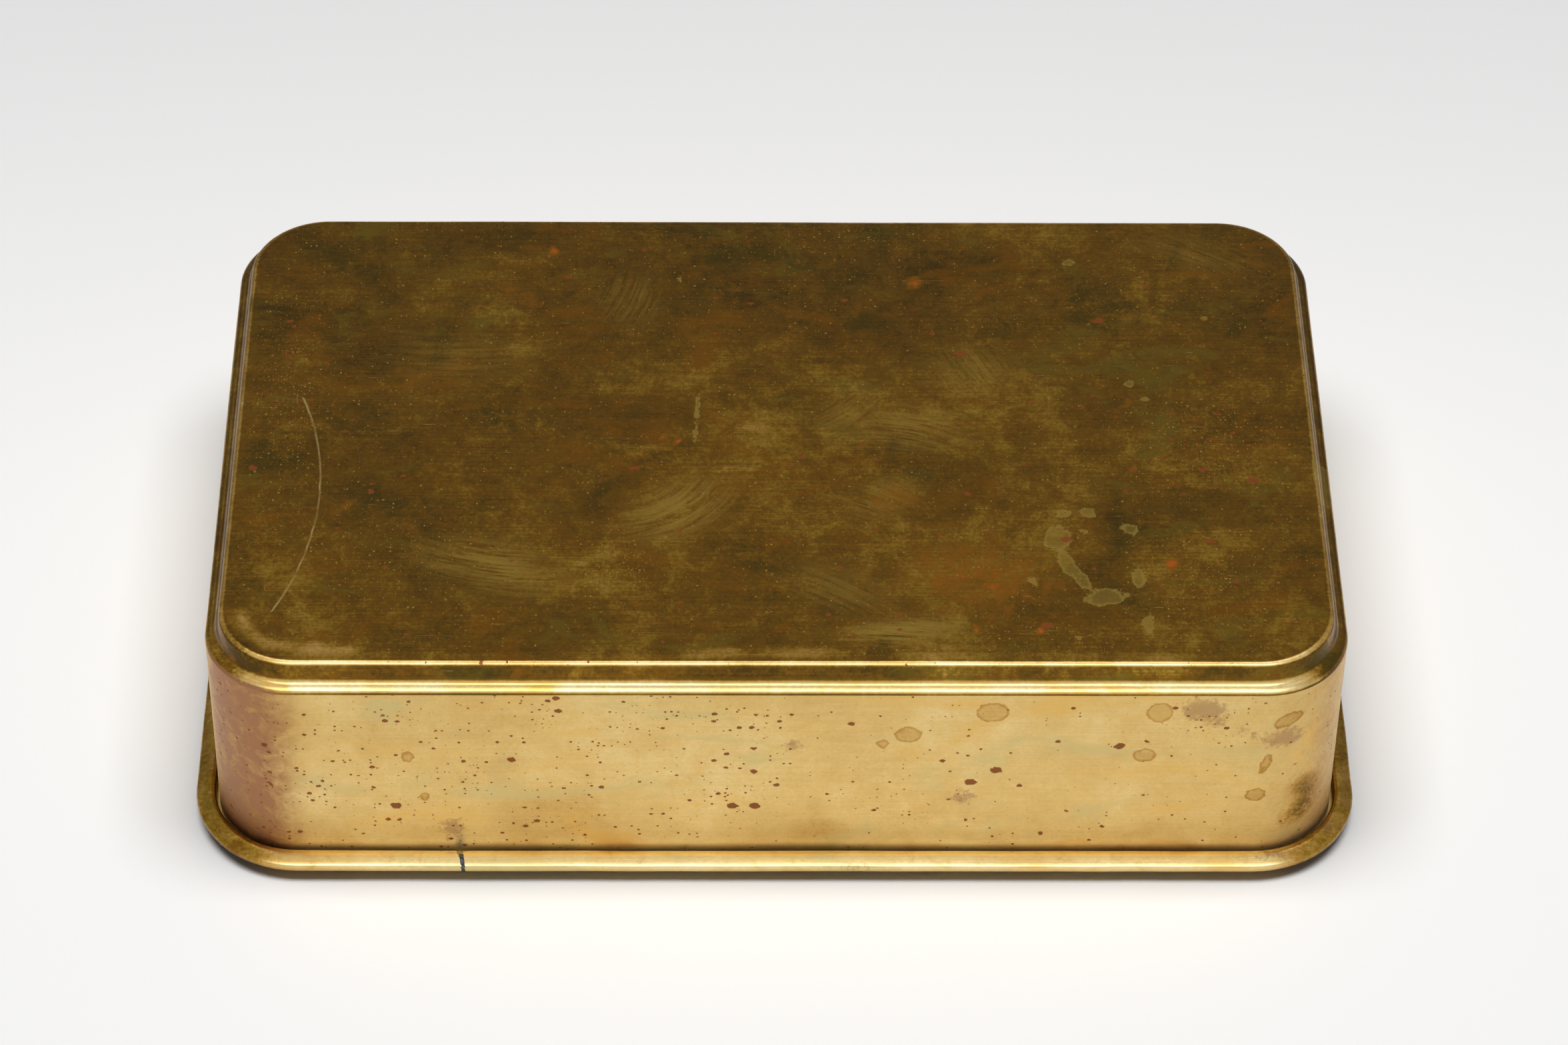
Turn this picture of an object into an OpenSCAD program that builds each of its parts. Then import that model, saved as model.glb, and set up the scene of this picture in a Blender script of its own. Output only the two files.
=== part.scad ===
// Needle case: a deep drawn-brass cover over a shallow wired-edge base, with a lift-out needle tray.
// Millimetres. The origin is on the table, under the middle of the case; X is the long side, +Z is up.

/* [Case] */
// Length over the cover's walls
case_l = 150; // [120:1:180]
// Width over the cover's walls
case_w = 92.2; // [80:0.1:110]
// Height of the closed case
case_h = 36.25; // [34.25:0.25:46]
// Corner radius of the cover's walls, seen from above
corner_r = 11.5; // [10:0.5:16]

/* [Cover] */
// Thickness of the cover's brass sheet
cover_t = 0.6; // [0.4:0.05:0.7]
// Radius where the wall turns in to the shoulder
shoulder_r = 0.8; // [0.75:0.05:1.2]
// Radius of the shoulder's gently crowned ledge
ledge_r = 2.4; // [1.5:0.1:4]
// Radius of the hollow between the ledge and the riser
cove_r = 0.9; // [0.5:0.1:1.5]
// Length of the riser that lifts the top panel
riser_h = 1.85; // [0.5:0.05:2.5]
// Radius of the top panel's edge
panel_r = 0.9; // [0.75:0.05:1.5]

/* [Base] */
// Height of the rim above the flat bottom that the case stands on
stand_h = 1.25; // [0.5:0.05:2]
// Thickness of the base's brass sheet
base_t = 0.5; // [0.3:0.05:0.6]
// Outer radius of the rolled rim
bead_r = 1.2; // [1:0.05:1.6]
// Distance from the cover's wall to the middle of the rolled rim
bead_offset = 1.85; // [1.75:0.05:2.5]
// Distance of the rim's butt joint from the middle of the front
joint_x = -42; // [-55:1:55]
// Width of the rim's butt joint
joint_w = 0.5; // [0.3:0.05:0.8]
// Height of the inner collar above the base's shelf
collar_h = 23.5; // [22:0.5:24]
// Thickness of the collar's band
collar_t = 0.5; // [0.4:0.05:0.6]
// Number of compartments along the base
columns = 3; // [2:1:4]

/* [Tray] */
// Depth of the lift-out tray
tray_depth = 9; // [8.5:0.5:10]
// Thickness of the tray's brass sheet
tray_t = 0.5; // [0.4:0.05:0.5]
// Thickness of the felt linings
felt_t = 1; // [0.6:0.1:1.2]

/* [Needles] */
// Needles in each bank
needle_count = 16; // [6:1:16]
// Distance between needles
needle_pitch = 6; // [4:0.5:6]
// Length of the short needles
short_l = 34; // [30:1:35]
// Length of the long needles
long_l = 42; // [38:1:44]
// Thickness of the short needles
short_d = 0.8; // [0.6:0.1:1]
// Thickness of the long needles
long_d = 1; // [0.8:0.1:1.2]

/* [Handles] */
// Radius of the lifting loops' wire
loop_wire_r = 0.7; // [0.5:0.05:0.8]
// Reach of the lifting loops from their pivot
loop_reach = 10; // [8:0.5:10]
// Radius of the keepers' wire
keeper_wire_r = 0.6; // [0.4:0.05:0.7]
// Reach of the keepers from their pivot
keeper_reach = 9; // [7:0.5:9]

/* [Hidden] */

BRASS = [0.72, 0.58, 0.30];
OLD_BRASS = [0.50, 0.38, 0.16];
TRAY_BRASS = [0.78, 0.64, 0.36];
FELT = [0.16, 0.22, 0.17];
STEEL = [0.75, 0.76, 0.78];
SOLDER = [0.36, 0.35, 0.34];

$fn = 48;
eps = 0.01;
// Gaps: between pieces that rest on each other, between pieces that slide, and between joined pieces
rest_gap = 0.05;
cover_slip = 0.15;
tray_slip = 0.25;
close_fit = 0.02;
lining_gap = 0.1;

// The cover's edge turns through these angles, measured from the wall's own direction
shoulder_turn = 52;
ledge_turn = 70;
riser_lean = 12;
arc_steps = 6;

// Where each stretch of the cover's edge starts, as [distance in from the wall, height above the wall's top]
function arc_move(r, a, b) = [r * abs(cos(a) - cos(b)), r * abs(sin(b) - sin(a))];
ledge_from = arc_move(shoulder_r, 0, shoulder_turn);
cove_from = ledge_from + arc_move(ledge_r, shoulder_turn, ledge_turn);
riser_from = cove_from + arc_move(cove_r, ledge_turn, riser_lean);
panel_from = riser_from + riser_h * [sin(riser_lean), cos(riser_lean)];
panel_flat = panel_from + arc_move(panel_r, riser_lean, 90);
wall_top = case_h - panel_flat.y;

// One arc of the edge, moved inwards by depth; turn is 1 where the edge is crowned and -1 where it is hollow
function edge_arc(from, r, a, b, turn, depth) = [
    for (i = [0:arc_steps])
        let (
            g = a + (b - a) * i / arc_steps,
            at = from + turn * r * [cos(a) - cos(g), sin(g) - sin(a)]
        )
        [corner_r - at.x - depth * cos(g), wall_top + at.y - depth * sin(g)]
];
function cover_edge(depth) = concat(
    edge_arc([0, 0], shoulder_r, 0, shoulder_turn, 1, depth),
    edge_arc(ledge_from, ledge_r, shoulder_turn, ledge_turn, 1, depth),
    edge_arc(cove_from, cove_r, ledge_turn, riser_lean, -1, depth),
    edge_arc(panel_from, panel_r, riser_lean, 90, 1, depth)
);
function reversed(list) = [for (i = [len(list) - 1:-1:0]) list[i]];

// Heights
floor_top = base_t;
shelf_top = stand_h + base_t;
rim_z = stand_h + bead_r;
cover_bottom = shelf_top + rest_gap;
cover_roof = case_h - cover_t;
collar_top = shelf_top + collar_h;
flange_top = collar_top + rest_gap + tray_t;
tray_bottom = flange_top - tray_depth;
tray_floor = tray_bottom + tray_t;
rack_z = tray_floor + felt_t;
needle_lift = 3.25;
needle_z = rack_z + needle_lift;
pivot_z = needle_z + long_d / 2 + keeper_wire_r + rest_gap;

// Plan sizes, all measured in from the cover's outer wall
collar_out = cover_t + cover_slip;
collar_in = collar_out + collar_t;
lining_inset = 0.7;
tray_out = collar_in + tray_slip;
tray_in = tray_out + tray_t;

// Base compartments
collar_foot = 4;
stand_inset = collar_in + collar_foot + 0.5;
pad_top = shelf_top + collar_t;
divider_t = 0.6;
divider_bottom = pad_top + rest_gap;
divider_top = tray_bottom - felt_t;
divider_mid = (divider_bottom + divider_top) / 2;
column_w = 49;
joint_lean = 8;

// Rack
foot_t = 0.5;
foot_w = 5;
comb_t = 0.7;
comb_l = (needle_count - 1) * needle_pitch + 10;
notch_play = 0.1;
comb_top = needle_z + 0.2;
comb_rivet_x = comb_l / 2 - 8;
front_y = -20.5;
rear_y = 18.5;
front_spread = 9;
rear_spread = 13;
rivet_r = 0.8;
rivet_head_r = 1.2;
rivet_head_t = 0.4;
clench_t = 0.3;
hole_r = rivet_r + close_fit;
lug_t = 0.8;
lug_w = 4.4;
lug_top_r = 2;
lug_rivet = 3;
wire_play = 0.05;
keeper_arm_x = comb_l / 2 + 1.5;
keeper_lug_x = keeper_arm_x + 1.5;
loop_pivot_x = case_l / 2 - 7;
loop_half_w = 18;
loop_lug_y = loop_half_w + 1.6;
stub_l = 3;

KEEPERS = [[front_y, -1], [rear_y, 1]];
COMBS = [
    [front_y - front_spread, -1], [front_y + front_spread, 1],
    [rear_y - rear_spread, -1], [rear_y + rear_spread, 1]
];
function comb_foot_y(comb) = comb[0] - comb[1] * foot_w / 2;
COMB_RIVETS = [for (comb = COMBS, side = [-1, 1]) [side * comb_rivet_x, comb_foot_y(comb)]];
KEEPER_FEET = [
    for (k = KEEPERS, side = [-1, 1]) [side * (keeper_lug_x + lug_rivet), k[0] + k[1] * keeper_reach]
];
LOOP_FEET = [for (side = [-1, 1], end = [-1, 1]) [side * loop_pivot_x, end * (loop_lug_y + lug_rivet)]];
RIVETS = concat(COMB_RIVETS, KEEPER_FEET, LOOP_FEET);

// Outline of the case, moved in by inset
module outline(inset) {
    l = case_l - 2 * inset;
    w = case_w - 2 * inset;
    r = corner_r - inset;
    union() {
        square([l - 2 * r, w], center = true);
        square([l, w - 2 * r], center = true);
        for (x = [-1, 1], y = [-1, 1])
            translate([x * (l / 2 - r), y * (w / 2 - r)])
                circle(r);
    }
}

// A slab of that outline between two heights
module slab(inset, bottom, top) {
    translate([0, 0, bottom])
        linear_extrude(top - bottom)
            outline(inset);
}

// Sweeps a section round the case; the section's x is measured from the corners' centres
module around() {
    half_l = case_l / 2 - corner_r;
    half_w = case_w / 2 - corner_r;
    for (side = [0, 1])
        rotate(180 * side) {
            translate([half_l, 0, 0])
                rotate([90, 0, 0])
                    linear_extrude(2 * half_w, center = true)
                        children();
            translate([0, half_w, 0])
                rotate([90, 0, 90])
                    linear_extrude(2 * half_l, center = true)
                        children();
            translate([half_l, half_w, 0])
                rotate_extrude(angle = 90)
                    children();
            translate([-half_l, half_w, 0])
                rotate(90)
                    rotate_extrude(angle = 90)
                        children();
        }
}

// ---- Base ----

// The rolled rim's section: the sheet goes round the wire from below and stops short of the cover
module curl_section() {
    translate([corner_r + bead_offset, rim_z])
        difference() {
            circle(bead_r);
            circle(bead_r - base_t);
            translate([-2 * bead_r, -2 * bead_r])
                square([2 * bead_r, 2 * bead_r]);
        }
}

module rim_joint(width, height) {
    translate([joint_x, -case_w / 2 - bead_offset, rim_z])
        rotate([0, 0, joint_lean])
            cube([width, height, height], center = true);
}

// The bottom is pressed down, so that the case stands on it and the rim stays off the table
module base_pan() {
    color(BRASS)
        union() {
            difference() {
                union() {
                    slab(stand_inset, 0, shelf_top);
                    slab(-bead_offset, stand_h, shelf_top);
                }
                slab(stand_inset + base_t, floor_top, shelf_top + eps);
            }
            difference() {
                around()
                    curl_section();
                rim_joint(joint_w, 4 * bead_r);
            }
        }
}

module rim_wire() {
    color(OLD_BRASS)
        around()
            translate([corner_r + bead_offset, rim_z])
                circle(bead_r - base_t - close_fit);
}

// Grey solder that fills the rim's butt joint, outside the wire
module rim_solder() {
    run = 4;
    color(SOLDER)
        intersection() {
            rim_joint(joint_w - 2 * close_fit, 2 * bead_r);
            translate([joint_x, -case_w / 2 - bead_offset, rim_z])
                difference() {
                    rotate([0, 90, 0])
                        cylinder(h = run, r = bead_r - rest_gap, center = true);
                    rotate([0, 90, 0])
                        cylinder(h = 2 * run, r = bead_r - base_t + close_fit, center = true);
                    translate([-run, 0, -bead_r - eps])
                        cube([2 * run, 2 * bead_r, bead_r + eps]);
                }
        }
}

// The upright band that the cover slips over, with a foot soldered to the base's shelf
module inner_collar() {
    color(BRASS)
        around()
            polygon([
                [corner_r - collar_out, shelf_top],
                [corner_r - collar_out, collar_top],
                [corner_r - collar_in, collar_top],
                [corner_r - collar_in, pad_top],
                [corner_r - collar_in - collar_foot, pad_top],
                [corner_r - collar_in - collar_foot, shelf_top]
            ]);
}

// A thick felt pad fills the pressed-down bottom, level with the collar's foot
module base_lining() {
    color(FELT)
        slab(stand_inset + base_t + lining_gap, floor_top, pad_top);
}

// The dividers halve into each other like an egg crate
module long_divider() {
    half_l = case_l / 2 - collar_in - rest_gap;
    slot_w = divider_t + 2 * rest_gap;
    color(TRAY_BRASS)
        difference() {
            translate([-half_l, -divider_t / 2, divider_bottom])
                cube([2 * half_l, divider_t, divider_top - divider_bottom]);
            for (i = [1:columns - 1])
                translate([(i - columns / 2) * column_w - slot_w / 2, -divider_t, divider_mid])
                    cube([slot_w, 2 * divider_t, divider_top]);
        }
}

module cross_dividers() {
    half_w = case_w / 2 - collar_in - rest_gap;
    slot_w = divider_t + 2 * rest_gap;
    color(TRAY_BRASS)
        for (i = [1:columns - 1])
            translate([(i - columns / 2) * column_w, 0, 0])
                difference() {
                    translate([-divider_t / 2, -half_w, divider_bottom])
                        cube([divider_t, 2 * half_w, divider_top - divider_bottom]);
                    translate([-divider_t, -slot_w / 2, divider_bottom - eps])
                        cube([2 * divider_t, slot_w, divider_mid - divider_bottom + eps]);
                }
}

// ---- Cover ----

module cover() {
    section = concat(
        [[corner_r, cover_bottom]],
        cover_edge(0),
        reversed(cover_edge(cover_t)),
        [[corner_r - cover_t, cover_bottom]]
    );
    color(OLD_BRASS)
        union() {
            around()
                polygon(section);
            slab(panel_flat.x, cover_roof, case_h);
        }
}

module cover_lining() {
    color(FELT)
        slab(panel_flat.x + lining_inset, cover_roof - felt_t, cover_roof);
}

// ---- Tray ----

module rivet_holes(bottom, top) {
    for (at = RIVETS)
        translate([at.x, at.y, bottom])
            cylinder(h = top - bottom, r = hole_r);
}

// The tray hangs in the collar by a flange that rests on the collar's top edge
module tray_pan() {
    color(TRAY_BRASS)
        difference() {
            union() {
                slab(tray_out, tray_bottom, flange_top - tray_t / 2);
                slab(collar_out, flange_top - tray_t, flange_top);
            }
            slab(tray_in, tray_floor, flange_top + eps);
            rivet_holes(tray_bottom - eps, tray_floor + eps);
        }
}

module tray_lining() {
    color(FELT)
        difference() {
            slab(tray_in + lining_gap, tray_floor, rack_z);
            rivet_holes(tray_floor - eps, rack_z + eps);
        }
}

// An angle strip with round-bottomed notches that the needles lie in
module comb(which, needle_d) {
    at = COMBS[which];
    notch_r = needle_d / 2 + notch_play;
    foot_y = comb_foot_y(at);
    color(TRAY_BRASS)
        difference() {
            union() {
                translate([-comb_l / 2, foot_y - foot_w / 2, rack_z])
                    cube([comb_l, foot_w, foot_t]);
                translate([-comb_l / 2, at[0] - (at[1] > 0 ? comb_t : 0), rack_z])
                    cube([comb_l, comb_t, comb_top - rack_z]);
            }
            for (i = [0:needle_count - 1])
                translate([needle_x(i), at[0] - at[1] * comb_t / 2, needle_z]) {
                    rotate([90, 0, 0])
                        cylinder(h = 2 * comb_t, r = notch_r, center = true, $fn = 24);
                    translate([-notch_r, -comb_t, 0])
                        cube([2 * notch_r, 2 * comb_t, 1]);
                }
            for (x = [-1, 1])
                translate([x * comb_rivet_x, foot_y, rack_z - eps])
                    cylinder(h = foot_t + 2 * eps, r = hole_r);
        }
}

module front_comb_outer() { comb(0, short_d); }
module front_comb_inner() { comb(1, short_d); }
module rear_comb_inner() { comb(2, long_d); }
module rear_comb_outer() { comb(3, long_d); }

// A lug: a foot on the tray's felt and an ear with a hole for a pivot along the ear's x
module lug(wire_r) {
    difference() {
        union() {
            translate([0, -lug_w / 2, rack_z])
                cube([foot_w, lug_w, foot_t]);
            translate([0, -lug_top_r, rack_z])
                cube([lug_t, 2 * lug_top_r, pivot_z - rack_z]);
            translate([0, 0, pivot_z])
                rotate([0, 90, 0])
                    cylinder(h = lug_t, r = lug_top_r);
        }
        translate([-eps, 0, pivot_z])
            rotate([0, 90, 0])
                cylinder(h = lug_t + 2 * eps, r = wire_r + wire_play);
        translate([lug_rivet, 0, rack_z - eps])
            cylinder(h = foot_t + 2 * eps, r = hole_r);
    }
}

module keeper_lugs() {
    color(TRAY_BRASS)
        for (k = KEEPERS, side = [0, 1])
            translate([0, k[0] + k[1] * keeper_reach, 0])
                mirror([side, 0, 0])
                    translate([keeper_lug_x, 0, 0])
                        lug(keeper_wire_r);
}

module loop_lugs() {
    color(TRAY_BRASS)
        for (x = [-1, 1], side = [0, 1])
            translate([x * loop_pivot_x, 0, 0])
                mirror([0, side, 0])
                    translate([0, loop_lug_y, 0])
                        rotate(90)
                            lug(loop_wire_r);
}

// Rivets hold the combs and lugs down through the felt; each is clenched under the tray
module tray_rivets() {
    color(OLD_BRASS)
        for (at = RIVETS)
            translate([at.x, at.y, 0]) {
                translate([0, 0, tray_bottom - clench_t])
                    cylinder(h = clench_t, r = rivet_head_r);
                translate([0, 0, tray_bottom - eps])
                    cylinder(h = rack_z + foot_t - tray_bottom + 2 * eps, r = rivet_r);
                translate([0, 0, rack_z + foot_t])
                    cylinder(h = rivet_head_t, r = rivet_head_r);
            }
}

// ---- Needles ----

function needle_x(i) = (i - (needle_count - 1) / 2) * needle_pitch;

// A sewing needle along Y, its point towards -Y, with a long eye near the other end
module needle(l, d) {
    tip_l = 5 * d;
    tip_r = 0.06 * d;
    head_r = 0.3 * d;
    eye_l = 3 * d;
    eye_r = 0.16 * d;
    eye_y = l / 2 - 3.2 * d;
    rotate([-90, 0, 0])
        difference() {
            translate([0, 0, -l / 2])
                rotate_extrude($fn = 24)
                    polygon([
                        [0, 0],
                        [tip_r, tip_r],
                        [d / 2, tip_l],
                        [d / 2, l - d],
                        [head_r, l - head_r],
                        [0, l]
                    ]);
            for (end = [-1, 1])
                translate([0, 0, eye_y + end * (eye_l / 2 - eye_r)])
                    rotate([90, 0, 0])
                        cylinder(h = 2 * d, r = eye_r, center = true, $fn = 16);
            translate([-eye_r, -d, eye_y - eye_l / 2 + eye_r])
                cube([2 * eye_r, 2 * d, eye_l - 2 * eye_r]);
        }
}

module needles(y, l, d) {
    color(STEEL)
        for (i = [0:needle_count - 1])
            translate([needle_x(i), y, needle_z])
                needle(l, d);
}

module short_needles() { needles(front_y, short_l, short_d); }
module long_needles() { needles(rear_y, long_l, long_d); }

// ---- Wire parts ----

// A straight run of wire with round ends
module wire(from, to, r) {
    run = to - from;
    translate(from)
        sphere(r);
    translate(to)
        sphere(r);
    translate(from)
        rotate([0, acos(run.z / norm(run)), atan2(run.y, run.x)])
            cylinder(h = norm(run), r = r);
}

// A wire bail: pivot stubs, two arms and a cross run; the pivot line is the local X axis
module bail(half_w, reach, r) {
    union() {
        wire([-half_w, reach, 0], [half_w, reach, 0], r);
        for (side = [-1, 1]) {
            wire([side * half_w, 0, 0], [side * half_w, reach, 0], r);
            wire([side * half_w, 0, 0], [side * (half_w + stub_l), 0, 0], r);
        }
    }
}

module front_keeper() {
    color(TRAY_BRASS)
        translate([0, front_y - keeper_reach, pivot_z])
            bail(keeper_arm_x, keeper_reach, keeper_wire_r);
}

module rear_keeper() {
    color(TRAY_BRASS)
        translate([0, rear_y + keeper_reach, pivot_z])
            rotate(180)
                bail(keeper_arm_x, keeper_reach, keeper_wire_r);
}

module left_loop() {
    color(OLD_BRASS)
        translate([-loop_pivot_x, 0, pivot_z])
            rotate(-90)
                bail(loop_half_w, loop_reach, loop_wire_r);
}

module right_loop() {
    color(OLD_BRASS)
        translate([loop_pivot_x, 0, pivot_z])
            rotate(90)
                bail(loop_half_w, loop_reach, loop_wire_r);
}

base_pan();
rim_wire();
rim_solder();
inner_collar();
base_lining();
long_divider();
cross_dividers();
cover();
cover_lining();
tray_pan();
tray_lining();
front_comb_outer();
front_comb_inner();
rear_comb_inner();
rear_comb_outer();
keeper_lugs();
loop_lugs();
tray_rivets();
short_needles();
long_needles();
front_keeper();
rear_keeper();
left_loop();
right_loop();
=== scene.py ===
"""Needle case: a deep brass cover over a shallow wired-edge base, with a lift-out needle tray inside.

Lengths are in millimetres in the CAD model's frame: the origin is on the table under the middle of the
case, X is the long side, -Y the front and Z up. Meshes are built in millimetres and scaled once.
"""

import math

import bmesh
import bpy
import numpy as np
from mathutils import Matrix, Vector, noise


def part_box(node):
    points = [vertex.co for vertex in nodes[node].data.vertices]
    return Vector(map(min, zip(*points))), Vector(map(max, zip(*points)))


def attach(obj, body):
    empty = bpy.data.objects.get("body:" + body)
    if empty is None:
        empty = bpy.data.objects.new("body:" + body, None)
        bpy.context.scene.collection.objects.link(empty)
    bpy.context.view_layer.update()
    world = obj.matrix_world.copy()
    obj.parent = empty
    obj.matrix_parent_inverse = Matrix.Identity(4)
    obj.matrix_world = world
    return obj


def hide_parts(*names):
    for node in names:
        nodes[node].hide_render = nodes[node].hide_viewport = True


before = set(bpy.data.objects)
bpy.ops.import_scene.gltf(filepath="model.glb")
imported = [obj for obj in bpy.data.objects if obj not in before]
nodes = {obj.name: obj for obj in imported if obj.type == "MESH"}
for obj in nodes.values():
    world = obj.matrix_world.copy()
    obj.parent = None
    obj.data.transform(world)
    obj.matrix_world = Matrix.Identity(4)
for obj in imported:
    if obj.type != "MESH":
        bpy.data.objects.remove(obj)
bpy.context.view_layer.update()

MM = 0.001


# ---- Sizes, from the frame where it holds them ----

def box_mm(node):
    low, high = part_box(node)
    return low / MM, high / MM


cover_low, cover_high = box_mm("cover")
base_high = box_mm("base_pan")[1]
CASE_L = 2 * cover_high.x
CASE_W = 2 * cover_high.y
CASE_H = cover_high.z
SKIRT_Z = cover_low.z
CORNER_R = 11.5
COVER_T = 0.6
SHOULDER_R = 0.8
LEDGE_R = 2.4
COVE_R = 0.9
RISER_H = 1.6
PANEL_R = 0.9
SHOULDER_TURN = 52
LEDGE_TURN = 70
RISER_LEAN = 12

SHEET_T = 0.5
BEAD_R = 1.2
BEAD_OUT = base_high.x - cover_high.x - BEAD_R
RIM_Z = base_high.z - BEAD_R
SHELF_Z = RIM_Z - BEAD_R
JOINT_X = -41.8
JOINT_W = 0.5
JOINT_LEAN = 9


# ---- Small mathematics ----

def smooth(start, end, value):
    t = np.clip((np.asarray(value, float) - start) / (end - start), 0, 1)
    return t * t * (3 - 2 * t)


def turned(u, v, at, angle):
    c, s = math.cos(math.radians(angle)), math.sin(math.radians(angle))
    return c * (u - at[0]) + s * (v - at[1]), c * (v - at[1]) - s * (u - at[0])


def cloud(u, v, at, radii, angle=0):
    """1 in the middle of an ellipse, easing to 0 at its edge."""
    a, b = turned(u, v, at, angle)
    return smooth(1, 0, np.hypot(a / radii[0], b / radii[1]))


def island(u, v, at, radii, angle=0):
    """Distance inside an ellipse's edge, in millimetres and negative outside."""
    a, b = turned(u, v, at, angle)
    return (1 - np.hypot(a / radii[0], b / radii[1])) * min(radii)


def along(u, v, points, width):
    """Distance inside a band of that half width round a broken line."""
    best = np.full(np.shape(u), -1e3)
    for (x0, y0), (x1, y1) in zip(points, points[1:]):
        dx, dy = x1 - x0, y1 - y0
        t = np.clip(((u - x0) * dx + (v - y0) * dy) / (dx * dx + dy * dy), 0, 1)
        best = np.maximum(best, width - np.hypot(u - x0 - t * dx, v - y0 - t * dy))
    return best


# ---- Mesh helpers ----

def new_object(name, points, faces, body, slot, smooth_faces=True):
    mesh = bpy.data.meshes.new(name)
    mesh.from_pydata([tuple(p) for p in (np.asarray(points) * MM)], [], faces)
    mesh.validate()
    if smooth_faces:
        mesh.polygons.foreach_set("use_smooth", [True] * len(mesh.polygons))
    obj = bpy.data.objects.new(name, mesh)
    bpy.context.scene.collection.objects.link(obj)
    if body:
        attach(obj, body)
    return obj


def paint(obj, name, values):
    """Stores one number per vertex, for the materials to read."""
    layer = obj.data.attributes.new(name, "FLOAT", "POINT")
    layer.data.foreach_set("value", np.asarray(values, np.float32))


def paint_vectors(obj, name, values):
    """Stores one vector in millimetres per vertex, for the materials to read."""
    layer = obj.data.attributes.new(name, "FLOAT_VECTOR", "POINT")
    layer.data.foreach_set("vector", (np.asarray(values) * MM).astype(np.float32).ravel())


def rounded_path(inset, radius, step):
    """Points round the case's outline moved in by inset, with outward normals; always the same number."""
    half_l, half_w = CASE_L / 2, CASE_W / 2
    runs_x = round(2 * (half_l - CORNER_R) / step)
    runs_y = round(2 * (half_w - CORNER_R) / step)
    turns = round(math.pi / 2 * CORNER_R / step)
    core_x, core_y = half_l - inset - radius, half_w - inset - radius
    points = []
    for quarter in range(4):
        a0 = math.pi / 2 * quarter
        sx, sy = ((1, 1), (-1, 1), (-1, -1), (1, -1))[quarter]
        for i in range(turns):
            a = a0 + math.pi / 2 * i / turns
            points.append((sx * core_x + radius * math.cos(a), sy * core_y + radius * math.sin(a),
                           math.cos(a), math.sin(a)))
        a = a0 + math.pi / 2
        nx, ny = round(math.cos(a)), round(math.sin(a))
        end = ((-1, 1), (-1, -1), (1, -1), (1, 1))[quarter]
        runs = runs_x if quarter in (0, 2) else runs_y
        for i in range(runs):
            t = i / runs
            points.append((sx * core_x * (1 - t) + end[0] * core_x * t + nx * radius,
                           sy * core_y * (1 - t) + end[1] * core_y * t + ny * radius, nx, ny))
    return np.array(points)


def ring_faces(first, last, count):
    """Quads between the rings of count points from first to last, each to the next."""
    faces = []
    for a in range(first * count, last * count, count):
        b = a + count
        faces += [(a + i, a + (i + 1) % count, b + (i + 1) % count, b + i) for i in range(count)]
    return faces


def joining_faces(ring_a, ring_b, count):
    """Quads between two rings that aren't next to each other."""
    a, b = ring_a * count, ring_b * count
    return [(a + i, a + (i + 1) % count, b + (i + 1) % count, b + i) for i in range(count)]


def sweep(section, step, radius_at):
    """Rings round the case for a section of (inset, height) points."""
    rings = []
    for inset, z in section:
        path = rounded_path(inset, radius_at(inset), step)
        rings.append(np.column_stack((path[:, :2], np.full(len(path), z))))
    return rings, len(rings[0])


def weld(obj):
    """Merges the points that meet where rings close on the middle line."""
    shape = bmesh.new()
    shape.from_mesh(obj.data)
    bmesh.ops.remove_doubles(shape, verts=shape.verts, dist=1e-7)
    shape.to_mesh(obj.data)
    shape.free()


def arc(start, radius, a, b, turn, steps):
    """One arc of the cover's edge as (inset, height, angle of its normal); turn is -1 in a hollow."""
    points = []
    for i in range(1, steps + 1):
        g = math.radians(a + (b - a) * i / steps)
        g0 = math.radians(a)
        points.append((start[0] + turn * radius * (math.cos(g0) - math.cos(g)),
                       start[1] + turn * radius * (math.sin(g) - math.sin(g0)), g))
    return points


# ---- Node helpers ----

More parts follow.
